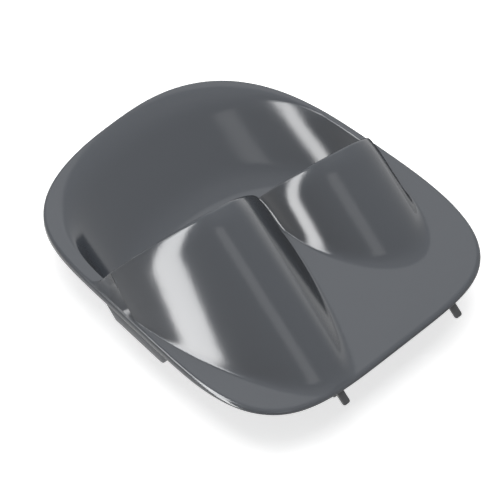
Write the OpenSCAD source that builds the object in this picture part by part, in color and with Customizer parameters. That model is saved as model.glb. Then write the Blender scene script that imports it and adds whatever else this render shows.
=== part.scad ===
// Two-lobed cowl: a moulded panel with a scooped well behind two unequal ramped lobes,
// front locating pegs and a side skirt. Millimetres, +Z up, +Y towards the rear of the panel.

/* [Panel] */
// Half the width of the panel at mid length
half_w = 127; // [110:1:160]
// Half the length of the panel
half_l = 154; // [130:1:185]
// How square each corner is across (2 is an ellipse): front left, front right, rear left, rear right
square_x = [3.95, 4.65, 2.4, 2.6]; // [2:0.05:5]
// How square each corner is along the panel, in the same order
square_y = [4.1, 2.9, 5.5, 3.05]; // [2:0.05:6]
// Share by which the panel narrows from mid length to its rear end
taper = 0.078; // [0:0.002:0.12]
// How far the panel drifts to the right for each millimetre towards the rear
drift = 0.011; // [0:0.001:0.02]
// Moulded wall thickness
wall = 2.5; // [2:0.1:3.5]
// Height of the turned-down lip along the sides and the rear
side_lip = 6.5; // [5:0.5:10]
// Height of the lip along the front edge
front_lip = 3.6; // [3.4:0.1:5]

/* [Lobes] */
// Rise of the lobes' tops for each millimetre towards the rear
ramp_slope = 0.85; // [0.6:0.01:1]
// Forward lean of the lobes' rear face for each millimetre of height
face_lean = 0.6; // [0.4:0.01:0.8]
// Place of the crest on the panel at mid width
crest_y = 24; // [10:1:40]
// How far the crest runs back for each millimetre to the left
crest_skew = 0.18; // [0:0.01:0.3]
// Centre of the left lobe
left_x = -54; // [-62:1:-46]
// Reach of the left lobe to its outer side
left_outer = 70; // [56:1:72]
// Reach of the left lobe to the valley
left_inner = 73; // [64:1:88]
// Front end of the left lobe on the panel
left_front = 148; // [110:1:148]
// Centre of the right lobe
right_x = 69; // [60:1:76]
// Reach of the right lobe to the valley
right_inner = 52; // [40:1:56]
// Reach of the right lobe to its outer side
right_outer = 43; // [36:1:50]
// Front end of the right lobe on the panel
right_front = 100; // [70:1:120]
// Length over which a lobe's top levels out behind its crest
crest_level = 9; // [4:1:14]
// Fillet where the lobes meet the panel
foot_fillet = 7; // [3:1:12]

/* [Well] */
// Depth of the well below the panel
well_depth = 50; // [30:1:56]
// Length of the well behind mid length
well_rear = 142; // [120:1:144]
// Half the width of the well
well_half_w = 117; // [100:1:118]
// Offset of the well to the right
well_x = 4; // [0:1:9]
// Blend between the rear slope and the floor of the well
well_blend = 12; // [6:1:30]
// Blend between the panel and the well
brim_blend = 12; // [4:1:16]

/* [Pegs and side skirt] */
// Distance of the left peg from the middle of the panel
left_peg_x = 60; // [40:1:80]
// Distance of the right peg from the middle of the panel
right_peg_x = 58; // [40:1:80]
// Width of a peg
peg_w = 6.4; // [4:0.1:10]
// Thickness of a peg
peg_t = 3.4; // [2.5:0.1:5]
// Length of a peg's tongue
peg_len = 14.5; // [12:0.5:22]
// Rear end of the side skirt
skirt_rear = 30; // [10:1:50]
// Length of the side skirt
skirt_len = 68; // [40:1:90]
// Depth of the side skirt below the panel
skirt_depth = 15; // [12:0.5:22]
// Clearance between the shell and the pegs or the skirt
seat_gap = 0.3; // [0.2:0.05:0.5]

/* [Hidden] */

grey = [0.37, 0.38, 0.40];
dark_grey = [0.16, 0.16, 0.17];

columns = 50;          // strips across the panel
samples = 240;         // steps over which the strips' places are measured
climb_share = 0.6;     // how much the climb of the lobes draws the strips together
edge_share = 0.25;     // how much the run of the outline draws them together
face_rows = 20;        // rows from the front edge to the crest
drop_rows = 8;         // rows down the lobes' rear face
slope_rows = 8;        // rows along the well's floor and rear slope
brim_rows = 3;         // rows from the well to the rear edge
rows = face_rows + drop_rows + slope_rows + brim_rows;
loop_size = 2 * columns;
edge_r = wall;         // rounding of the panel's outer edge
edge_steps = 3;        // facets round that edge
left_base = 12;        // where the left lobe's sides end, behind mid length
right_base = -17;      // where the right lobe's sides end
left_powers = [1.75, 1.27];   // fullness of the left lobe's foot line on its outer and valley side
right_powers = [1.8, 2];      // fullness of the right lobe's foot line on its valley and outer side
apex = 0.08;           // rounding of the left lobe's front end, as a share of its reach
flank_rise = 8;        // steepness of a foot line past its lobe's side
brim_powers = [[2.3, 3.2], [2.1, 2.4]];   // fullness of the well's brim, left and right of its centre
brim_fall = 4;         // steepness of the brim past the well's side
crest_round = 2.5;     // rounding of the crest's edge
seam_round = 3;        // rounding between the lobes' rear face and the well's slope
valley_blend = 14;     // blend of the two foot lines in the valley
low_lean = 0.25;       // lean of the well's front wall below the panel
tilt_limit = 5;        // largest vertical thickening on a steep wall
lip_ramp = 60;         // length over which the lip grows from front to side
peg_angle = atan(ramp_slope);
peg_pad = 3;           // thickness of a peg's root block
peg_side = 1.5;        // how far the root block stands out past each side of the tongue
peg_block_h = 8;       // height of the root block
peg_bevel = 1.6;       // bevel on the corners of a peg's tip
peg_start = 1;         // how far the tongue runs back into its block
skirt_sections = 24;   // sections along the skirt
skirt_t = 2.5;         // thickness of the skirt's upper leaf
skirt_round = 6;       // rounding of the skirt's front corner
skirt_least = 0.4;     // height of the skirt's lower edge at its ends

// Smooth maximum and minimum of two heights, blended over k
function smax(a, b, k) = let (h = max(k - abs(a - b), 0)) max(a, b) + h * h / (4 * k);
function smin(a, b, k) = -smax(-a, -b, k);
function clamp(v, lo, hi) = min(max(v, lo), hi);
// Arch of height 1 at the middle, 0 at u = 1 and beyond
function arch(u, p, q) = abs(u) < 1 ? pow(1 - pow(abs(u), p), 1 / q) : 0;
// u with its point at the middle rounded over e
function soften(u, e) = (sqrt(u * u + e * e) - e) / (sqrt(1 + e * e) - e);

// Outline: half length of the panel, inset by d, on the strip at xu, in front of or behind mid length
function corner(xu, rear) = (rear ? 2 : 0) + (xu < 0 ? 0 : 1);
function reach(xu, d, rear) =
    let (n = corner(xu, rear)) (half_l - d) * arch(xu / (half_w - d), square_x[n], square_y[n]);
// Half width of the panel's left side, inset by d, at y
function side_reach(y, d) =
    let (n = corner(-1, y > 0)) (half_w - d) * arch(y / (half_l - d), square_y[n], square_x[n]);
// Real x of a strip at y: the panel narrows and drifts towards the rear
function wide(xu, y) = xu * (1 - taper * y / half_l) + drift * y;

// Foot line of each lobe on the panel, as y over x: an arch, then a straight run back past its side
function past(u, r) = r * max(abs(u) - 1, 0);
function lobe_foot(u, r, front, base, power, e) =
    base - (base + front) * arch(soften(u, e), power, power) + flank_rise * past(u, r);
function left_foot(x) =
    let (n = x < left_x ? 0 : 1, r = [left_outer, left_inner][n])
    lobe_foot((x - left_x) / r, r, left_front, left_base, left_powers[n], apex);
function right_foot(x) =
    let (n = x < right_x ? 0 : 1, r = [right_inner, right_outer][n])
    lobe_foot((x - right_x) / r, r, right_front, right_base, right_powers[n], 0);
function foot(x) = smin(left_foot(x), right_foot(x), valley_blend);
// Rear brim of the well, as y over x
function brim(x) =
    let (u = (x - well_x) / well_half_w, powers = brim_powers[u < 0 ? 0 : 1])
    well_rear * arch(u, powers[0], powers[1]) - brim_fall * past(u, well_half_w);

// Crest: the ramp meets the lobes' leaning rear face
function crest_line(x) = crest_y - crest_skew * x;
function crest_height(x) =
    max(ramp_slope * (crest_line(x) - foot(x)), 0) / (1 + face_lean * ramp_slope);
// Vertical thickness of a wall of thickness 1 that tilts by these two slopes, eased to the limit
function stretch(a, b = 0) =
    let (full = 1 + a * a + b * b, top = tilt_limit * tilt_limit)
    sqrt(full * (1 + 1 / top) / (1 + full / top));
function rate(f1, f0) = (f1 - f0) * 2;

// Height of the shell at x, y; t = 0 for the outside and wall for the inside
function height(x, y, t) =
    let (
        ft = foot(x), fs = ramp_slope * rate(foot(x + 0.25), foot(x - 0.25)),
        bs = ramp_slope * rate(brim(x + 0.25), brim(x - 0.25)),
        ramp = ramp_slope * (y - ft) - t * stretch(ramp_slope, fs),
        level = crest_height(x) - crest_level / 4 - t,
        lobe = smax(-t, smin(ramp, max(level, -t), crest_level), foot_fillet),
        behind = crest_line(x) - y,
        upper_face = behind / face_lean - t * stretch(1 / face_lean),
        lower_face = behind / low_lean - t * stretch(1 / low_lean),
        slope = ramp_slope * (y - brim(x)) - t * stretch(ramp_slope, bs),
        well = smin(-t, smax(-well_depth - t, slope, well_blend), brim_blend)
    )
    smin(lobe, smax(min(upper_face, lower_face), well, seam_round), crest_round);

// y of row j on the strip at xu: rows follow the crest, the well's foot and its brim
function part_of(j, first, count) = clamp((j - first) / count, 0, 1);
function row_y(xu, j) =
    let (
        f = reach(xu, edge_r, false), r = reach(xu, edge_r, true), len = f + r,
        yc0 = crest_line(xu) - face_lean * crest_height(xu),
        yc = clamp(yc0, -f + 0.2 * len, r - 0.22 * len),
        yw = clamp(crest_line(xu) + low_lean * well_depth, yc + 0.04 * len, r - 0.14 * len),
        yb = clamp(brim(xu), yw + 0.04 * len, r - 0.03 * len),
        a = part_of(j, 0, face_rows), b = part_of(j, face_rows, drop_rows),
        c = part_of(j, face_rows + drop_rows, slope_rows),
        d = part_of(j, rows - brim_rows, brim_rows)
    )
    -f + (yc + f) * (1 - pow(1 - a, 1.4)) + (yw - yc) * b + (yb - yw) * c + (r - yb) * d;

// Widest place of a strip, from part -1 at the left edge to 1 at the right
function across(part, d) = (half_w - d) * sin(90 * part);
// The strips stand at equal steps of width, climb and outline taken together
function effort(n) =
    let (a = across(2 * (n - 1) / samples - 1, edge_r), b = across(2 * n / samples - 1, edge_r))
    let (run = [for (rear = [false, true]) abs(reach(b, edge_r, rear) - reach(a, edge_r, rear))])
    b - a + climb_share * abs(crest_height(b) - crest_height(a)) + edge_share * (run[0] + run[1]);
efforts = [for (n = 0, sum = 0; n <= samples; n = n + 1, sum = sum + effort(n)) [sum, 2 * n / samples - 1]];
places = [for (i = [0:columns]) lookup(efforts[samples][0] * i / columns, efforts)];
function strip(i, d) = across(places[i], d);

function grid(t) = [
    for (j = [0:rows]) for (i = [1:columns - 1])
        let (xu = strip(i, edge_r), y = row_y(xu, j), x = wide(xu, y)) [x, y, height(x, y, t)]
];
function poles(t) = [for (side = [-1, 1]) [side * (half_w - edge_r), 0, -t]];

// Loop round the outline, inset by d, at height z above the lip's own foot when lip is true
function lip_at(y) =
    front_lip + (side_lip - front_lip) * clamp((y + half_l - 25) / lip_ramp, 0, 1);
function loop(d, z, lip = false) = [
    for (k = [0:loop_size - 1])
        let (rear = k > columns, xu = strip(rear ? loop_size - k : k, d), r = reach(xu, d, rear))
        let (y = rear ? r : -r)
        [wide(xu, y), y, lip ? z - lip_at(y) : z]
];

inside_count = (rows + 1) * (columns - 1) + 2;
function cell(side, j, i) =
    side * inside_count + (i == 0 ? inside_count - 2 : i == columns ? inside_count - 1
        : j * (columns - 1) + i - 1);
function rim(side, k) = let (m = k % loop_size)
    m <= columns ? cell(side, 0, m) : cell(side, rows, loop_size - m);
function quad(a, b, c, d) = [[a, b, c], [a, c, d]];
function flat(list) = [for (part = list) for (item = part) item];
function turned(faces) = [for (f = faces) [f[2], f[1], f[0]]];

function sheet_faces(side) = [
    for (j = [0:rows - 1]) for (i = [0:columns - 1])
        let (a = cell(side, j, i), b = cell(side, j + 1, i))
        let (c = cell(side, j + 1, i + 1), d = cell(side, j, i + 1))
        for (f = i == 0 ? [[a, c, d]] : i == columns - 1 ? [[a, b, c]] : quad(a, b, c, d)) f
];

module frame() translate([0, centre_shift, well_depth + wall]) children();

// Moulded shell: panel, lobes, well and turned-down lip in one wall thickness
module cowl_shell() {
    turns = [for (n = [1:edge_steps]) 90 * n / edge_steps];
    rounded = [for (a = turns) loop(edge_r * (1 - sin(a)), edge_r * (cos(a) - 1))];
    rings = concat(rounded, [loop(0, 0, true), loop(wall, 0, true)]);
    ring_count = len(rings);
    points = concat(grid(0), poles(0), grid(wall), poles(wall), flat(rings));
    function at(n, k) = n < 0 ? rim(0, k) : n >= ring_count ? rim(1, k)
        : 2 * inside_count + n * loop_size + k % loop_size;
    band = flat([for (n = [-1:ring_count - 1]) for (k = [0:loop_size - 1])
        quad(at(n, k), at(n + 1, k), at(n + 1, k + 1), at(n, k + 1))]);
    skin = concat(sheet_faces(0), turned(sheet_faces(1)), turned(band));
    color(grey) frame() polyhedron(points = points, faces = skin);
}

// Distance forward of mid length at which the lip's inner face stands at x
function lip_front(x) = reach((x + drift * half_l) / (1 + taper), wall, false);
block_w = peg_w + 2 * peg_side;
function block_y(x) = seat_gap - min(lip_front(x - block_w / 2), lip_front(x + block_w / 2));
tongue_z = -front_lip - seat_gap + peg_start * ramp_slope;
tongue_run = peg_len * cos(peg_angle) - peg_start;
peg_tip_y = min(block_y(-left_peg_x), block_y(right_peg_x)) - tongue_run;
centre_shift = -(half_l + peg_tip_y) / 2;

// Locating peg: a root block behind the front lip, and a bevelled tongue that leaves it forwards and down
module peg(x) {
    tongue = [
        [-peg_w / 2, 0], [-peg_w / 2, peg_bevel - peg_len], [peg_bevel - peg_w / 2, -peg_len],
        [peg_w / 2 - peg_bevel, -peg_len], [peg_w / 2, peg_bevel - peg_len], [peg_w / 2, 0]
    ];
    frame() translate([x, block_y(x), 0]) {
        translate([-block_w / 2, 0, -wall - seat_gap - peg_block_h]) cube([block_w, peg_pad, peg_block_h]);
        translate([0, peg_start, tongue_z]) rotate([peg_angle, 0, 0]) translate([0, 0, -peg_t])
            linear_extrude(peg_t) polygon(tongue);
    }
}

module left_front_peg() color(dark_grey) peg(-left_peg_x);
module right_front_peg() color(dark_grey) peg(right_peg_x);

// How far the skirt stands down below the lip at y: deepest behind its rounded front corner
function skirt_drop(y) =
    let (
        full = skirt_depth - side_lip - seat_gap, front = y - (skirt_rear - skirt_len),
        r = skirt_round, f = min(front, r), turn = sqrt(r * r - (r - f) * (r - f)) * full / r
    )
    max(skirt_least, min(full, min((skirt_rear - y) * ramp_slope, turn)));
function skirt_x(y, d) = wide(-side_reach(y, d), y);

// Side skirt: a leaf inside the lip that widens below it to lie flush with the panel's edge
module left_side_skirt() {
    leaf = wall + seat_gap;
    low = -side_lip - seat_gap;
    sections = [
        for (n = [0:skirt_sections])
            let (y = skirt_rear - skirt_len * n / skirt_sections, z = low - skirt_drop(y))
            [
                [skirt_x(y, leaf + skirt_t), y, -leaf], [skirt_x(y, leaf), y, -leaf],
                [skirt_x(y, leaf), y, low], [skirt_x(y, 0), y, low],
                [skirt_x(y, 0), y, z], [skirt_x(y, leaf + skirt_t), y, z]
            ]
    ];
    corners = len(sections[0]);
    sides = [
        for (n = [0:skirt_sections - 1]) for (k = [0:corners - 1])
            let (a = n * corners, b = a + corners, m = (k + 1) % corners)
            for (f = quad(a + k, b + k, b + m, a + m)) f
    ];
    last = skirt_sections * corners;
    caps = [[for (k = [0:corners - 1]) k], [for (k = [corners - 1:-1:0]) last + k]];
    color(grey) frame() polyhedron(points = flat(sections), faces = concat(sides, caps));
}

cowl_shell();
left_front_peg();
right_front_peg();
left_side_skirt();
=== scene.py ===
"""Finish of the two-lobed cowl: glossy moulded shell, dark locating pegs and side skirt, on a pale studio floor.

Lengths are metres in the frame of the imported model. The shell's height is worked out above its flat panel,
with +X right, +Y to the panel's rear and +Z up.
"""

import math
from types import SimpleNamespace

import bpy
import numpy as np
from bpy.props import FloatProperty, FloatVectorProperty, PointerProperty
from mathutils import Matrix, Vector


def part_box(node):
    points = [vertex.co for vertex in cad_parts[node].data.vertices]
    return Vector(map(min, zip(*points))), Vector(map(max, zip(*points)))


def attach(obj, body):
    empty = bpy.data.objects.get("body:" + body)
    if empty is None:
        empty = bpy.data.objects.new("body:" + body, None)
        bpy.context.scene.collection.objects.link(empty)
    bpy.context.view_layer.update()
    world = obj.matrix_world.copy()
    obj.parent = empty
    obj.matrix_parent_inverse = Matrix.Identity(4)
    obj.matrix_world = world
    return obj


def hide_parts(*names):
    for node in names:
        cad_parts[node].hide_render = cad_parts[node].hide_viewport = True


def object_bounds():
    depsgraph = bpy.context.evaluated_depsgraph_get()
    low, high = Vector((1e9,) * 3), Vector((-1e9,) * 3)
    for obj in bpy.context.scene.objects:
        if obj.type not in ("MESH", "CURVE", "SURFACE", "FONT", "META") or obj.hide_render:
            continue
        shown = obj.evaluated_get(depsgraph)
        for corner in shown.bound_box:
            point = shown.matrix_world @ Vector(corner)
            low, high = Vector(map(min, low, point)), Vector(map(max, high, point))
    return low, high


bl_info = {
    "name": "Two-lobed cowl",
    "version": (1, 0, 0),
    "blender": (4, 5, 0),
    "location": "3D View > Sidebar > Cowl",
    "description": "Moulded cowl with two ramped lobes, a well, locating pegs and a side skirt",
    "category": "Add Mesh",
}

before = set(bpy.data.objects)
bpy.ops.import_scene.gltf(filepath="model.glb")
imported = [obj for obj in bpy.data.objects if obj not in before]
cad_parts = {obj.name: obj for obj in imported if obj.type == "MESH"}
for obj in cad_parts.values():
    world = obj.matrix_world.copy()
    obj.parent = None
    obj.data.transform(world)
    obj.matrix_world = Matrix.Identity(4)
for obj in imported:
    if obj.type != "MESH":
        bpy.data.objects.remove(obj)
CAD_BOX = [list(corner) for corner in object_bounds()]
SHELL_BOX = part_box("cowl_shell")
PEG_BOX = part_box("left_front_peg")
BODY = "root"

SQUARE_X = np.array([3.95, 4.65, 2.4, 2.6])   # squareness across: front left, front right, rear left, rear right
SQUARE_Y = np.array([4.1, 2.9, 5.5, 3.05])    # squareness along, in the same order
LEFT_POWERS = (1.75, 1.27)                    # fullness of the left lobe's foot line, on its left and right
RIGHT_POWERS = (1.8, 2.0)                     # fullness of the right lobe's foot line, on its left and right
APEX = 0.08                                   # rounding of the left lobe's front end, as a share of its reach
BRIM_POWERS = ((2.3, 3.2), (2.1, 2.4))        # fullness of the well's brim, left and right of its centre
BRIM_FALL = 4.0                               # steepness of the brim past the well's side
STEEPEST = 5.0                                # largest vertical thickening of a steep wall
SEAM_ROUND = 0.003                            # rounding between the lobes' rear face and the well
RATE_STEP = 2.5e-4                            # half the run over which a line's slope is measured

COLUMNS = 200                     # strips across the panel
RAMP_ROWS, DROP_ROWS = 92, 36     # rows up to the crest, and down the lobes' rear face
SLOPE_ROWS, BRIM_ROWS = 56, 16    # rows along the well, and from its brim to the rear edge
ROWS = RAMP_ROWS + DROP_ROWS + SLOPE_ROWS + BRIM_ROWS
PLACE_SAMPLES = 8001              # samples over which the strips' places are measured
CLIMB_SHARE, DEPTH_SHARE, EDGE_SHARE = 0.8, 0.5, 0.15   # pull of the lobes, the well and the outline on them
EDGE_STEPS = 6                    # facets round the panel's outer edge
LIP_STEPS = 3                     # facets round each corner of the lip's foot
LIP_ROUND = 0.0004                # rounding of those corners
LIP_START = 0.025                 # distance behind the front edge at which the lip starts to grow
SKIRT_LEAST = 0.0004              # least height of the skirt's foot
SKIRT_SEAM = 0.00005              # seam between the lip's foot and the skirt
FLOOR_DROP = 0.0002               # the floor lies this far under the part
FLOOR_GLOW = 0.65                 # how far the seen floor is lifted towards white


def length(name, value, text):
    return FloatProperty(
        name=name, description=text, default=value, subtype="DISTANCE", unit="LENGTH", precision=4
    )


def share(name, value, text):
    return FloatProperty(name=name, description=text, default=value, precision=3)


def colour(name, value, text):
    return FloatVectorProperty(
        name=name, description=text, default=linear(value), subtype="COLOR", size=3, min=0, max=1
    )


def linear(hex_text):
    """Linear red, green and blue of an sRGB hex colour."""
    srgb = np.array([int(hex_text[n:n + 2], 16) for n in (0, 2, 4)]) / 255
    return tuple(float(c) for c in np.where(srgb > 0.04045, ((srgb + 0.055) / 1.055) ** 2.4, srgb / 12.92))


# ---------------------------------------------------------------- sizes

class PanelSizes(bpy.types.PropertyGroup):
    half_w: length("Half width", 0.127, "Half the width of the panel at mid length")
    half_l: length("Half length", 0.154, "Half the length of the panel")
    taper: share("Taper", 0.078, "Share by which the panel narrows towards its rear end")
    drift: share("Drift", 0.011, "How far the panel drifts to the right towards its rear end")
    wall: length("Wall", 0.0025, "Moulded wall thickness, and rounding of the outer edge")
    side_lip: length("Side lip", 0.0065, "Height of the turned-down lip at the sides and the rear")
    front_lip: length("Front lip", 0.0036, "Height of the lip along the front edge")
    lip_ramp: length("Lip ramp", 0.060, "Length over which the lip grows from the front to the side")


class LobeSizes(bpy.types.PropertyGroup):
    slope: share("Ramp slope", 0.85, "Rise of the lobes' tops towards the rear")
    lean: share("Face lean", 0.60, "Forward lean of the lobes' rear face for its height")
    crest_y: length("Crest", 0.024, "Place of the crest at mid width")
    crest_skew: share("Crest skew", 0.18, "How far the crest runs back towards the left")
    left_x: length("Left lobe", -0.054, "Centre of the left lobe")
    left_outer: length("Left outer reach", 0.070, "Reach of the left lobe to its outer side")
    left_inner: length("Left inner reach", 0.073, "Reach of the left lobe to the valley")
    left_front: length("Left front", 0.148, "Front end of the left lobe")
    left_base: length("Left base", 0.012, "Where the left lobe's sides end, behind mid length")
    right_x: length("Right lobe", 0.069, "Centre of the right lobe")
    right_inner: length("Right inner reach", 0.052, "Reach of the right lobe to the valley")
    right_outer: length("Right outer reach", 0.043, "Reach of the right lobe to its outer side")
    right_front: length("Right front", 0.100, "Front end of the right lobe")
    right_base: length("Right base", -0.017, "Where the right lobe's sides end")
    level: length("Crest level", 0.009, "Length over which a top levels out at its crest")
    fillet: length("Foot fillet", 0.007, "Fillet where the lobes meet the panel")
    crest_round: length("Crest rounding", 0.0025, "Rounding of the crest's edge")
    valley: length("Valley blend", 0.014, "Blend of the two foot lines in the valley")
    flank: share("Flank", 8.0, "Steepness of the foot line past a lobe's side")


class WellSizes(bpy.types.PropertyGroup):
    depth: length("Depth", 0.050, "Depth of the well below the panel")
    rear: length("Rear", 0.142, "Length of the well behind mid length")
    half_width: length("Half width", 0.117, "Half the width of the well")
    centre: length("Centre", 0.004, "Offset of the well to the right")
    floor_blend: length("Floor blend", 0.012, "Blend between the rear slope and the floor")
    brim_blend: length("Brim blend", 0.012, "Blend between the panel and the well")
    front_lean: share("Front lean", 0.25, "Lean of the well's front wall below the panel")


class TabSizes(bpy.types.PropertyGroup):
    peg_w: length("Peg width", 0.0064, "Width of a peg")
    peg_t: length("Peg thickness", 0.0034, "Thickness of a peg")
    peg_len: length("Peg length", 0.0145, "Length of a peg's tongue")
    peg_round: length("Peg rounding", 0.0022, "Rounding of a peg's tip")
    peg_start: length("Peg start", 0.001, "How far a tongue runs back into its root block")
    block_t: length("Block thickness", 0.003, "Thickness of a peg's root block")
    block_h: length("Block height", 0.008, "Height of a peg's root block")
    skirt_rear: length("Skirt rear", 0.030, "Rear end of the side skirt")
    skirt_len: length("Skirt length", 0.068, "Length of the side skirt")
    skirt_depth: length("Skirt depth", 0.015, "Depth of the skirt below the panel")
    skirt_round: length("Skirt rounding", 0.006, "Rounding of the skirt's front corner")
    skirt_wall: length("Skirt wall", 0.0025, "Thickness of the skirt's upper leaf")
    seat_gap: length("Seat gap", 0.0003, "Clearance to the shell")


class Finish(bpy.types.PropertyGroup):
    moulding: colour("Moulding", "464A50", "Grey of the moulded shell")
    peg: colour("Pegs", "3A3B3D", "Dark grey of the pegs")
    floor: colour("Floor", "E6E6E6", "Pale floor")
    gloss: share("Gloss roughness", 0.16, "Roughness of the moulded surface")


class StageSizes(bpy.types.PropertyGroup):
    azimuth: FloatProperty(
        name="Azimuth", description="Camera's side", default=math.radians(-44.6), subtype="ANGLE"
    )
    elevation: FloatProperty(
        name="Elevation", description="Camera's height", default=math.radians(49.9), subtype="ANGLE"
    )
    distance: length("Distance", 4.406, "Camera's distance from its aim")
    lens: FloatProperty(name="Lens", description="Focal length in millimetres on a 36 mm sensor", default=423.0)
    shift_x: share("Shift across", -0.007, "Framing shift across")
    shift_y: share("Shift up", -0.0274, "Framing shift up")
    surround: share("Surround", 0.25, "Level of the white surroundings as light")
    top: share("Top light", 3.6, "Radiance of the soft light overhead")
    strip: share("Strip light", 12.5, "Radiance of the tall strip at the left, which shows in the gloss only")
    soft: share("Soft strip light", 1.0, "Radiance of the wider strip at the front left, in the gloss only")
    rear_left: share("Rear left light", 9.0, "Radiance of the card at the rear left, in the gloss only")
    rear: share("Rear light", 0.7, "Radiance of the card at the rear, in the gloss only")
    black: share("Black card", 0.03, "Level of the card that darkens the rear of the steep walls")
    grey: share("Grey card", 0.5, "Level of the card that dims the front of the steep walls")
    aim: FloatVectorProperty(
        name="Aim", description="Point that the camera aims at, from the middle of the panel",
        default=(-0.0041, -0.0031, 0), subtype="TRANSLATION", unit="LENGTH", size=3,
    )


GROUPS = {
    "cowl_panel": PanelSizes, "cowl_lobes": LobeSizes, "cowl_well": WellSizes, "cowl_tabs": TabSizes,
    "cowl_finish": Finish, "cowl_stage": StageSizes,
}


def sizes(context, *names):
    """One set of plain values from the named property groups."""
    found = {}
    for name in names:
        group = getattr(context.scene, "cowl_" + name)
        found.update({key: getattr(group, key) for key in type(group).__annotations__})
    return SimpleNamespace(**found)


# ---------------------------------------------------------------- shape of the shell

def smooth_max(a, b, k):
    """The larger of two heights plus h squared over 4k, where h is k less their distance, and at least 0."""
    h = np.maximum(k - np.abs(a - b), 0)
    return np.maximum(a, b) + h * h / (4 * k)


def smooth_min(a, b, k):
    return -smooth_max(-a, -b, k)


def arch(u, power, root=None):
    """Superellipse arch: the root of 1 less |u| to that power, 0 past 1."""
    return np.maximum(1 - np.minimum(np.abs(u), 1) ** power, 0) ** (1 / (power if root is None else root))


def soften(u, apex):
    """|u| with its point rounded over apex: root of u squared plus apex squared, scaled to stay 1 at 1."""
    return (np.sqrt(u * u + apex * apex) - apex) / (math.sqrt(1 + apex * apex) - apex)


def past(u, reach):
    """How far a place lies past the side of an arch."""
    return reach * np.maximum(np.abs(u) - 1, 0)


def lobe_foot(x, middle, reaches, front, base, powers, apex, flank):
    """A lobe's foot line: an arch from its base to its front end, then a straight run back past its side."""
    second = x >= middle
    reach = np.where(second, reaches[1], reaches[0])
    u = (x - middle) / reach
    rise = arch(soften(u, apex), np.where(second, powers[1], powers[0]))
    return base - (base + front) * rise + flank * past(u, reach)


def foot_line(x, s):
    """y at which the lobes leave the panel: the two lobes' foot lines, blended in the valley."""
    left = lobe_foot(
        x, s.left_x, (s.left_outer, s.left_inner), s.left_front, s.left_base, LEFT_POWERS, APEX, s.flank
    )
    right = lobe_foot(
        x, s.right_x, (s.right_inner, s.right_outer), s.right_front, s.right_base, RIGHT_POWERS, 0, s.flank
    )
    return smooth_min(left, right, s.valley)


def brim_line(x, s):
    """y of the well's rear brim: an arch over the well's width, then a straight run forwards."""
    u = (x - s.centre) / s.half_width
    left, right = (arch(u, *powers) for powers in BRIM_POWERS)
    return s.rear * np.where(u < 0, left, right) - BRIM_FALL * past(u, s.half_width)


def crest_line(x, s):
    return s.crest_y - s.crest_skew * x


def crest_height(x, s):
    """Height at which a lobe's ramp meets its leaning rear face."""
    return np.maximum(s.slope * (crest_line(x, s) - foot_line(x, s)), 0) / (1 + s.lean * s.slope)


def stretch(along, across=0.0):
    """Vertical thickness of a wall of thickness 1 that tilts by these two slopes, eased to STEEPEST."""
    full = np.sqrt(1 + along ** 2 + np.square(across))
    return full / np.sqrt(1 + (full / STEEPEST) ** 2) * math.sqrt(1 + 1 / STEEPEST ** 2)


def height(x, y, s, t=0.0):
    """Height of the shell above its panel at x, y; t is 0 for the outside and the wall for the inside.

    The lobes are a ramp over the foot line, levelled at the crest and filleted to the panel. The well is a slope
    up to the brim line, blended with a flat floor and the panel. The lower of the two, with the lobes' rear face
    between them, is the shell. For the inside, each of these surfaces is lowered by its own vertical thickness.
    """
    foot_rate, brim_rate = (
        s.slope * (line(x + RATE_STEP, s) - line(x - RATE_STEP, s)) / (2 * RATE_STEP)
        for line in (foot_line, brim_line)
    )
    ramp = s.slope * (y - foot_line(x, s)) - t * stretch(s.slope, foot_rate)
    level = np.maximum(crest_height(x, s) - s.level / 4 - t, -t)
    lobe = smooth_max(-t, smooth_min(ramp, level, s.level), s.fillet)
    behind = crest_line(x, s) - y
    face = np.minimum(
        behind / s.lean - t * stretch(1 / s.lean), behind / s.front_lean - t * stretch(1 / s.front_lean)
    )
    slope = s.slope * (y - brim_line(x, s)) - t * stretch(s.slope, brim_rate)
    well = smooth_min(-t, smooth_max(-s.depth - t, slope, s.floor_blend), s.brim_blend)
    return smooth_min(lobe, smooth_max(face, well, SEAM_ROUND), s.crest_round)


def strip(c, inset, s):
    """Widest place of a strip: sine of a quarter turn times c, from -1 at the left edge to 1 at the right."""
    return (s.half_w - inset) * np.sin(math.pi / 2 * c)


def reach(xu, inset, rear, s):
    """Half length of the superelliptic outline on a strip, inset from the edge, before or behind mid length."""
    corner = 2 * np.asarray(rear, int) + (xu > 0)
    return (s.half_l - inset) * arch(xu / (s.half_w - inset), SQUARE_X[corner], SQUARE_Y[corner])


def left_side(y, inset, s):
    """x of the panel's left edge at y, inset from it."""
    corner = np.where(y > 0, 2, 0)
    return wide(-(s.half_w - inset) * arch(y / (s.half_l - inset), SQUARE_Y[corner], SQUARE_X[corner]), y, s)


def wide(xu, y, s):
    """Real x of a strip at y: the panel narrows and drifts towards its rear."""
    return xu * (1 - s.taper * y / s.half_l) + s.drift * y


def strip_places(s):
    """Places of the strips: evenly along the sum of width, outline length and the climb of lobes and well."""
    c = np.linspace(-1, 1, PLACE_SAMPLES)
    xu = strip(c, s.wall, s)
    climb = CLIMB_SHARE * np.abs(np.diff(crest_height(xu, s)))
    climb += DEPTH_SHARE * np.abs(np.diff(np.maximum(s.slope * brim_line(xu, s), -s.depth)))
    outline = sum(EDGE_SHARE * np.abs(np.diff(reach(xu, s.wall, rear, s))) for rear in (0, 1))
    run = np.concatenate([[0], np.cumsum(np.abs(np.diff(xu)) + climb + outline)])
    return np.interp(np.linspace(0, run[-1], COLUMNS + 1), run, c)


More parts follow.
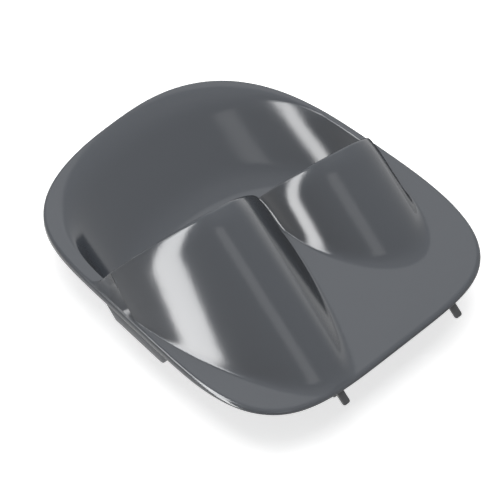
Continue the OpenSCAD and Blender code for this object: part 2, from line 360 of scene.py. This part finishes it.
def shell_rows(xu, s):
    """y of each row on each strip: front edge, crest, foot of the rear face, brim, rear edge."""
    front, rear = (reach(xu, s.wall, side, s) for side in (0, 1))
    span = front + rear
    crest = crest_line(xu, s) - s.lean * crest_height(xu, s)
    crest = np.clip(crest, 0.2 * span - front, rear - 0.22 * span)
    well_foot = np.clip(crest_line(xu, s) + s.front_lean * s.depth, crest + 0.04 * span, rear - 0.14 * span)
    brim = np.clip(brim_line(xu, s), well_foot + 0.04 * span, rear - 0.03 * span)
    stops = [-front, crest, well_foot, brim, rear]
    parts = [(RAMP_ROWS, 1.35), (DROP_ROWS, 1.0), (SLOPE_ROWS, 1.0), (BRIM_ROWS, 1.0)]
    rows = [-front[None]]
    for (count, power), low, high in zip(parts, stops, stops[1:]):
        a = np.arange(1, count + 1)[:, None] / count
        rows.append(low + (high - low) * (1 - (1 - a) ** power))
    return np.concatenate(rows)


def build_shell(s):
    """Points and faces of the closed shell: outside, inside one wall below it, and the lip that joins them."""
    c = strip_places(s)
    xu = strip(c, s.wall, s)
    y = shell_rows(xu, s)
    x = wide(xu[None], y, s)
    sheets = [np.stack([x, y, height(x, y, s, t)], -1) for t in (0.0, s.wall)]

    around = np.concatenate([c, c[-2:0:-1]])
    side = np.concatenate([-np.ones(COLUMNS + 1), np.ones(COLUMNS - 1)])

    def loop(inset, z, on_lip):
        """The outline at an inset, at height z over the panel or over the lip's foot."""
        at = strip(around, inset, s)
        along = side * reach(at, inset, side > 0, s)
        grown = np.clip((along + s.half_l - LIP_START) / s.lip_ramp, 0, 1)
        foot = s.front_lip + (s.side_lip - s.front_lip) * grown
        return np.stack([wide(at, along, s), along, z - foot * on_lip], -1)

    turn = np.arange(1, EDGE_STEPS + 1) / EDGE_STEPS * math.pi / 2
    corner = np.arange(LIP_STEPS + 1) / LIP_STEPS * math.pi / 2
    rings = [loop(s.wall * (1 - math.sin(a)), s.wall * (math.cos(a) - 1), 0) for a in turn]
    rings += [loop(LIP_ROUND * (1 - math.cos(a)), LIP_ROUND * (1 - math.sin(a)), 1) for a in corner]
    rings += [loop(s.wall - LIP_ROUND * (1 - math.sin(a)), LIP_ROUND * (1 - math.cos(a)), 1) for a in corner]

    inner = (ROWS + 1) * (COLUMNS - 1)
    cells = []
    for n in (0, 1):
        cell = np.empty((ROWS + 1, COLUMNS + 1), int)
        start = n * (inner + 2)
        cell[:, 1:-1] = start + np.arange(inner).reshape(ROWS + 1, COLUMNS - 1)
        cell[:, 0], cell[:, -1] = start + inner, start + inner + 1
        cells.append(cell)
    points = [part for sheet in sheets for part in (sheet[:, 1:-1].reshape(-1, 3), sheet[0, [0, -1]])]
    points += rings
    first = 2 * (inner + 2)
    count = 2 * COLUMNS
    loops = [np.concatenate([cell[0], cell[-1, -2:0:-1]]) for cell in cells]
    loops[1:1] = [first + n * count + np.arange(count) for n in range(len(rings))]

    quads = [sheet_quads(cells[0][:, 1:-1]), sheet_quads(cells[1][:, 1:-1])[:, ::-1]]
    quads += [band_quads(b, a) for a, b in zip(loops, loops[1:])]
    fans = [fan(cells[0]), fan(cells[1])[:, ::-1]]
    return np.concatenate(points), np.concatenate(quads).tolist() + np.concatenate(fans).tolist()


def sheet_quads(cell):
    """Quads of a grid of point numbers, facing up where columns run right and rows run back."""
    return np.stack([cell[:-1, :-1], cell[:-1, 1:], cell[1:, 1:], cell[1:, :-1]], -1).reshape(-1, 4)


def band_quads(low, high):
    """Quads of the closed band between two loops of point numbers."""
    return np.stack([low, np.roll(low, -1), np.roll(high, -1), high], -1)


def fan(cell):
    """Triangles from the two poles, where the strips at the left and right edge close to a point."""
    left = np.stack([cell[:-1, 0], cell[:-1, 1], cell[1:, 1]], -1)
    right = np.stack([cell[:-1, -1], cell[1:, -2], cell[:-1, -2]], -1)
    return np.concatenate([left, right])


# ---------------------------------------------------------------- shape of the pegs and the skirt

def rounded_tube(sections, power, around=40):
    """Points and faces of a closed tube: each section is (centre, half width, half height, right, up).

    A section is a superellipse: cosine and sine raised to 2 over the power, along its right and up directions.
    """
    a = np.arange(around) / around * 2 * math.pi
    ring = np.stack([np.cos(a), np.sin(a)], -1)
    ring = np.sign(ring) * np.abs(ring) ** (2 / power)
    centre, half_w, half_h, right, up = (np.array(part, float) for part in zip(*sections))
    points = centre[:, None] + ring[None, :, :1] * (half_w[:, None] * right)[:, None]
    points = points + ring[None, :, 1:] * (half_h[:, None] * up)[:, None]
    count = len(sections)
    cell = np.arange(count * around).reshape(count, around)
    quads = np.concatenate([band_quads(low, high) for low, high in zip(cell, cell[1:])])
    ends = [cell[0, ::-1].tolist(), cell[-1].tolist()]
    return points.reshape(-1, 3), quads.tolist() + ends


def join_parts(*parts):
    """One set of points and faces from several."""
    points, faces, start = [], [], 0
    for part_points, part_faces in parts:
        points.append(part_points)
        faces += [[start + n for n in face] for face in part_faces]
        start += len(part_points)
    return np.concatenate(points), faces


def tongue(peg, s):
    """A flat tongue that leaves its block forwards and down, with a rounded and thinned tip."""
    angle = math.atan(s.slope)
    along = np.array([0, -math.cos(angle), -math.sin(angle)])
    up = np.array([0, -math.sin(angle), math.cos(angle)])
    straight = s.peg_len - s.peg_round
    turn = np.linspace(0, math.pi / 2, 9)[:-1]
    run = np.concatenate([np.linspace(0, straight, 12)[:-1], straight + s.peg_round * np.sin(turn)])
    pull = np.concatenate([np.zeros(11), 1 - np.cos(turn)])
    half_w = s.peg_w / 2 - pull * 0.7 * s.peg_round
    half_t = s.peg_t / 2 * (1 - 0.12 * run / s.peg_len) - pull * 0.35 * s.peg_t
    start = peg - up * s.peg_t / 2
    return rounded_tube(
        [(start + along * r, w, h, (1, 0, 0), up) for r, w, h in zip(run, half_w, half_t)], 4.5
    )


def root_block(low, high):
    """A block with rounded edges, between two corners."""
    middle, half = (low + high) / 2, (high - low) / 2
    ease = 0.0005
    turn = np.linspace(0, math.pi / 2, 5)
    z = np.concatenate([-half[2] + ease * (1 - np.cos(turn)), half[2] - ease * (1 - np.cos(turn[::-1]))])
    pull = np.concatenate([ease * (1 - np.sin(turn)), ease * (1 - np.sin(turn[::-1]))])
    return rounded_tube(
        [(middle + (0, 0, h), half[0] - p, half[1] - p, (1, 0, 0), (0, 1, 0)) for h, p in zip(z, pull)], 9
    )


def build_skirt(s, count=72):
    """A leaf inside the lip that widens below it to lie flush with the panel's edge, carried along the edge.

    Its foot drops at the lobes' slope from the rear end and turns in by a quarter circle at the front end.
    """
    y = s.skirt_rear - s.skirt_len * np.linspace(0, 1, count + 1)
    full = s.skirt_depth - s.side_lip
    front = np.minimum(y - (s.skirt_rear - s.skirt_len), s.skirt_round)
    turn = np.sqrt(np.maximum(s.skirt_round ** 2 - (s.skirt_round - front) ** 2, 0)) * full / s.skirt_round
    drop = np.maximum(np.minimum(np.minimum((s.skirt_rear - y) * s.slope, turn), full), SKIRT_LEAST)
    low = np.full_like(y, -s.side_lip - SKIRT_SEAM)
    inner = s.wall + s.seat_gap
    top = np.full_like(y, -inner)
    corners = [(inner + s.skirt_wall, top), (inner, top), (inner, low), (0, low), (0, low - drop),
               (inner + s.skirt_wall, low - drop)]
    points = np.stack([np.stack([left_side(y, inset, s), y, z], -1) for inset, z in corners], 1)
    cell = np.arange(points.size // 3).reshape(count + 1, len(corners))
    quads = np.concatenate([band_quads(a, b) for a, b in zip(cell, cell[1:])])
    return points.reshape(-1, 3), quads.tolist() + [cell[0, ::-1].tolist(), cell[-1].tolist()]


# ---------------------------------------------------------------- pieces

def place(s):
    """The panel's origin in the frame: mid length of the panel, at its flat top."""
    shift = SHELL_BOX[1][1] - s.half_l
    top = PEG_BOX[1][2] + s.wall + s.seat_gap
    return np.array([0, shift, top])


def make_piece(name, points, faces, material, node):
    """Puts a shape into a mesh, stops if the mesh has faults, and hands the piece to the frame."""
    mesh = bpy.data.meshes.new(name)
    mesh.from_pydata(points.tolist(), [], faces)
    mesh.polygons.foreach_set("use_smooth", np.ones(len(faces), bool))
    mesh.materials.append(material)
    mesh.update()
    if mesh.validate():
        raise RuntimeError(f"{name}: the mesh had faults")
    piece = bpy.data.objects.new(name, mesh)
    bpy.context.scene.collection.objects.link(piece)
    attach(piece, BODY)
    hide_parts(node)
    piece.visible_glossy = False    # the gloss mirrors the studio alone, and not the object's own walls
    return piece


def add_bevel(piece, width):
    bevel = piece.modifiers.new("edges", "BEVEL")
    bevel.width, bevel.segments, bevel.limit_method = width, 3, "ANGLE"
    bevel.angle_limit = math.radians(35)
    bevel.harden_normals = False


def add(tree, kind, inputs=None, **settings):
    """Adds a node with its settings; inputs maps a socket's name or number to a value or a node's output."""
    made = tree.nodes.new(kind)
    for name, value in settings.items():
        setattr(made, name, value)
    for name, value in (inputs or {}).items():
        if isinstance(value, bpy.types.NodeSocket):
            tree.links.new(value, made.inputs[name])
        else:
            made.inputs[name].default_value = value
    return made


def new_material(name):
    material = bpy.data.materials.new(name)
    material.use_nodes = True
    material.node_tree.nodes.clear()
    return material


def per_metre(millimetres):
    """Noise scale of a pattern whose features are this far apart."""
    return 1000 / millimetres


def glossy_moulded_abs(finish):
    """Glossy moulded ABS: a polished tool gives an even grey with a clear reflection, and the skin's slight
    shrinkage leaves orange peel that frays a highlight's edges."""
    material = new_material("glossy_moulded_abs")
    tree = material.node_tree
    place_of = add(tree, "ShaderNodeTexCoord").outputs["Object"]
    peel = add(tree, "ShaderNodeTexNoise", {"Vector": place_of, "Scale": per_metre(1.3), "Detail": 2.0})
    wave = add(tree, "ShaderNodeTexNoise", {"Vector": place_of, "Scale": per_metre(14), "Detail": 1.0})
    fine = add(tree, "ShaderNodeBump", {"Height": peel.outputs["Fac"], "Strength": 0.08, "Distance": 0.0004})
    broad = add(
        tree, "ShaderNodeBump",
        {"Height": wave.outputs["Fac"], "Strength": 0.04, "Distance": 0.002, "Normal": fine.outputs["Normal"]},
    )
    haze = add(tree, "ShaderNodeTexNoise", {"Vector": place_of, "Scale": per_metre(30), "Detail": 3.0})
    rough = add(
        tree, "ShaderNodeMapRange",
        {"Value": haze.outputs["Fac"], 3: finish.gloss - 0.02, 4: finish.gloss + 0.03},
    )
    shader = add(
        tree, "ShaderNodeBsdfPrincipled",
        {"Base Color": (*finish.moulding, 1), "Roughness": rough.outputs["Result"], "IOR": 1.52,
         "Normal": broad.outputs["Normal"]},
    )
    add(tree, "ShaderNodeOutputMaterial", {"Surface": shader.outputs["BSDF"]})
    return material


def make_dark_peg_moulding(finish):
    """Moulding of the pegs, a darker grey than the shell: waxy, with a satin sheen and a fine tool texture."""
    material = new_material("dark_satin_peg_moulding")
    tree = material.node_tree
    place_of = add(tree, "ShaderNodeTexCoord").outputs["Object"]
    grain = add(tree, "ShaderNodeTexNoise", {"Vector": place_of, "Scale": per_metre(0.5), "Detail": 3.0})
    bump = add(tree, "ShaderNodeBump", {"Height": grain.outputs["Fac"], "Strength": 0.2, "Distance": 0.0001})
    rough = add(tree, "ShaderNodeMapRange", {"Value": grain.outputs["Fac"], 3: 0.28, 4: 0.42})
    shader = add(
        tree, "ShaderNodeBsdfPrincipled",
        {"Base Color": (*finish.peg, 1), "Roughness": rough.outputs["Result"], "IOR": 1.53,
         "Normal": bump.outputs["Normal"]},
    )
    add(tree, "ShaderNodeOutputMaterial", {"Surface": shader.outputs["BSDF"]})
    return material


def shared_material(name, make, context):
    return bpy.data.materials.get(name) or make(sizes(context, "finish"))


class COWL_OT_shell(bpy.types.Operator):
    """Makes the moulded shell with its lobes, well and lip"""

    bl_idname = "cowl.shell"
    bl_label = "Cowl shell"

    def execute(self, context):
        s = sizes(context, "panel", "lobes", "well", "tabs")
        points, faces = build_shell(s)
        material = shared_material("glossy_moulded_abs", glossy_moulded_abs, context)
        make_piece("shell", points + place(s), faces, material, "cowl_shell")
        return {"FINISHED"}


class COWL_OT_pegs(bpy.types.Operator):
    """Makes the two locating pegs under the front edge"""

    bl_idname = "cowl.pegs"
    bl_label = "Locating pegs"

    def execute(self, context):
        s = sizes(context, "panel", "lobes", "tabs")
        material = shared_material("dark_satin_peg_moulding", make_dark_peg_moulding, context)
        for node in ("left_front_peg", "right_front_peg"):
            low, high = (np.array(corner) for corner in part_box(node))
            block_low = np.array([low[0], high[1] - s.block_t, high[2] - s.block_h])
            peg_y = high[1] - s.block_t + s.peg_start
            peg_z = place(s)[2] - s.front_lip - s.seat_gap + s.peg_start * s.slope
            peg = np.array([(low[0] + high[0]) / 2, peg_y, peg_z])
            points, faces = join_parts(tongue(peg, s), root_block(block_low, high))
            make_piece(node.replace("front_peg", "peg"), points, faces, material, node)
        return {"FINISHED"}


class COWL_OT_skirt(bpy.types.Operator):
    """Makes the skirt that hangs under the left edge"""

    bl_idname = "cowl.skirt"
    bl_label = "Side skirt"

    def execute(self, context):
        s = sizes(context, "panel", "lobes", "tabs")
        points, faces = build_skirt(s)
        material = shared_material("glossy_moulded_abs", glossy_moulded_abs, context)
        piece = make_piece("skirt", points + place(s), faces, material, "left_side_skirt")
        add_bevel(piece, 0.0003)
        return {"FINISHED"}


# ---------------------------------------------------------------- stage

def seen_or_mirrored(tree, first, *others):
    """Output that is 1 for a ray of any of these kinds, and 0 for one that only carries light."""
    ray = add(tree, "ShaderNodeLightPath")
    value = ray.outputs[first]
    for kind in others:
        value = add(tree, "ShaderNodeMath", {0: value, 1: ray.outputs[kind]}, operation="MAXIMUM").outputs["Value"]
    return value


def floor_material(finish):
    """Pale painted board: plain white that keeps the object's shadow, and shows as white behind it."""
    material = new_material("pale_painted_board")
    tree = material.node_tree
    seen = seen_or_mirrored(tree, "Is Camera Ray", "Is Glossy Ray")
    strength = add(tree, "ShaderNodeMath", {0: seen, 1: FLOOR_GLOW}, operation="MULTIPLY")
    place_of = add(tree, "ShaderNodeTexCoord").outputs["Object"]
    grain = add(tree, "ShaderNodeTexNoise", {"Vector": place_of, "Scale": per_metre(2), "Detail": 2.0})
    bump = add(tree, "ShaderNodeBump", {"Height": grain.outputs["Fac"], "Strength": 0.02, "Distance": 0.0005})
    shader = add(
        tree, "ShaderNodeBsdfPrincipled",
        {"Base Color": (*finish.floor, 1), "Roughness": 0.85, "Normal": bump.outputs["Normal"],
         "Emission Color": (1, 1, 1, 1), "Emission Strength": strength.outputs["Value"]},
    )
    add(tree, "ShaderNodeOutputMaterial", {"Surface": shader.outputs["BSDF"]})
    return material


def set_world(level):
    """Even white surroundings: full white where they are seen or mirrored, a plain level as light."""
    world = bpy.data.worlds.new("studio")
    bpy.context.scene.world = world
    world.use_nodes = True
    tree = world.node_tree
    tree.nodes.clear()
    seen = seen_or_mirrored(tree, "Is Camera Ray", "Is Glossy Ray", "Is Transmission Ray")
    strength = add(tree, "ShaderNodeMath", {0: seen, 1: level}, operation="MAXIMUM")
    shader = add(tree, "ShaderNodeBackground", {"Color": (1, 1, 1, 1), "Strength": strength.outputs["Value"]})
    add(tree, "ShaderNodeOutputWorld", {"Surface": shader.outputs["Background"]})


def add_lamp(name, at, aim, width, tall, radiance, mirrored, lean=0.0):
    """A rectangular soft lamp at one point, turned to another and leaning by an angle, of that radiance.

    A mirrored lamp shows in the gloss alone, and any other one lights the surfaces alone.
    """
    lamp = bpy.data.lights.new(name, "AREA")
    lamp.shape, lamp.size, lamp.size_y = "RECTANGLE", width, tall
    lamp.energy = radiance * math.pi * width * tall
    holder = bpy.data.objects.new(name, lamp)
    holder.location = at
    away = np.array(at, float) - np.array(aim, float)
    turn = Vector(away).to_track_quat("Z", "Y").to_matrix() @ Matrix.Rotation(lean, 3, "Z")
    holder.rotation_euler = turn.to_euler()
    holder.visible_diffuse, holder.visible_glossy = not mirrored, mirrored
    bpy.context.scene.collection.objects.link(holder)


def add_flag(name, front, rear, level):
    """A card low on the right, from front to rear and as light as level, that darkens the steep walls facing it.

    Only the gloss sees it.
    """
    bpy.ops.mesh.primitive_plane_add(size=1)
    flag = bpy.context.object
    flag.name = name
    flag.data.transform(Matrix.Rotation(math.pi / 2, 4, "Y"))
    middle = Matrix.Translation((0.35, (front + rear) / 2, -0.54))
    flag.data.transform(middle @ Matrix.Diagonal((1, rear - front, 1, 1)))
    material = new_material(name)
    tree = material.node_tree
    shader = add(tree, "ShaderNodeEmission", {"Color": (1, 1, 1, 1), "Strength": level})
    add(tree, "ShaderNodeOutputMaterial", {"Surface": shader.outputs["Emission"]})
    flag.data.materials.append(material)
    flag.visible_camera = flag.visible_diffuse = flag.visible_shadow = False


class COWL_OT_stage(bpy.types.Operator):
    """Makes the pale floor, the soft lamps, the white surroundings and the camera"""

    bl_idname = "cowl.stage"
    bl_label = "Studio stage"

    def execute(self, context):
        s = sizes(context, "panel", "tabs", "finish", "stage")
        low = CAD_BOX[0][2]
        bpy.ops.mesh.primitive_plane_add(size=8, location=(0, 0, 0))
        floor = context.object
        floor.name = "floor"
        floor.data.transform(Matrix.Translation((0, 0, low - FLOOR_DROP)))
        floor.data.materials.append(floor_material(s))
        floor.visible_glossy = False    # the gloss sees even white below the horizon too
        set_world(s.surround)
        add_lamp("top_softbox", (0.0, 0.1, 1.6), (0, 0, 0), 1.5, 1.5, s.top, False)
        add_lamp("left_strip", (-0.32, -0.018, 0.15), (0, -0.018, 0.15), 0.09, 0.62, s.strip, True, lean=0.14)
        add_lamp("soft_strip", (-0.486, -0.84, 0.70), (0, 0, 0), 0.30, 0.5, s.soft, True)
        add_lamp("rear_left_card", (-0.85, 0.42, 0.60), (0, 0, 0), 0.30, 0.50, s.rear_left, True)
        add_lamp("rear_card", (1.0, 1.40, 1.6), (1.0, 1.40, 0), 1.8, 1.6, s.rear, True)
        add_flag("black_card", 0.04, 2.0, s.black)
        add_flag("grey_card", -0.9, 0.04, s.grey)

        scene = context.scene
        scene.view_settings.view_transform = "Standard"
        centre = place(s)
        back = np.array([
            math.sin(s.azimuth) * math.cos(s.elevation), -math.cos(s.azimuth) * math.cos(s.elevation),
            math.sin(s.elevation),
        ])
        view = bpy.data.cameras.new("camera")
        view.lens, view.sensor_width = s.lens, 36
        view.shift_x, view.shift_y = s.shift_x, s.shift_y
        view.clip_end = 50
        camera = bpy.data.objects.new("camera", view)
        camera.location = centre + np.array(s.aim) + back * s.distance
        camera.rotation_euler = Vector(back).to_track_quat("Z", "Y").to_euler()
        scene.collection.objects.link(camera)
        scene.camera = camera
        return {"FINISHED"}


class COWL_PT_panel(bpy.types.Panel):
    """Lists the cowl's pieces and their sizes"""

    bl_idname = "COWL_PT_panel"
    bl_label = "Cowl"
    bl_space_type = "VIEW_3D"
    bl_region_type = "UI"
    bl_category = "Cowl"

    def draw(self, context):
        for operator in OPERATORS:
            self.layout.operator(operator.bl_idname)
        for name, kind in GROUPS.items():
            box = self.layout.box()
            box.label(text=name.replace("_", " "))
            for key in kind.__annotations__:
                box.prop(getattr(context.scene, name), key)


OPERATORS = (COWL_OT_shell, COWL_OT_pegs, COWL_OT_skirt, COWL_OT_stage)


def register():
    for kind in (*GROUPS.values(), *OPERATORS, COWL_PT_panel):
        bpy.utils.register_class(kind)
    for name, kind in GROUPS.items():
        setattr(bpy.types.Scene, name, PointerProperty(type=kind))


def unregister():
    for name in GROUPS:
        delattr(bpy.types.Scene, name)
    for kind in reversed((*GROUPS.values(), *OPERATORS, COWL_PT_panel)):
        bpy.utils.unregister_class(kind)


def main():
    register()
    bpy.ops.cowl.shell()
    bpy.ops.cowl.pegs()
    bpy.ops.cowl.skirt()
    bpy.ops.cowl.stage()


if __name__ == "__main__":
    main()
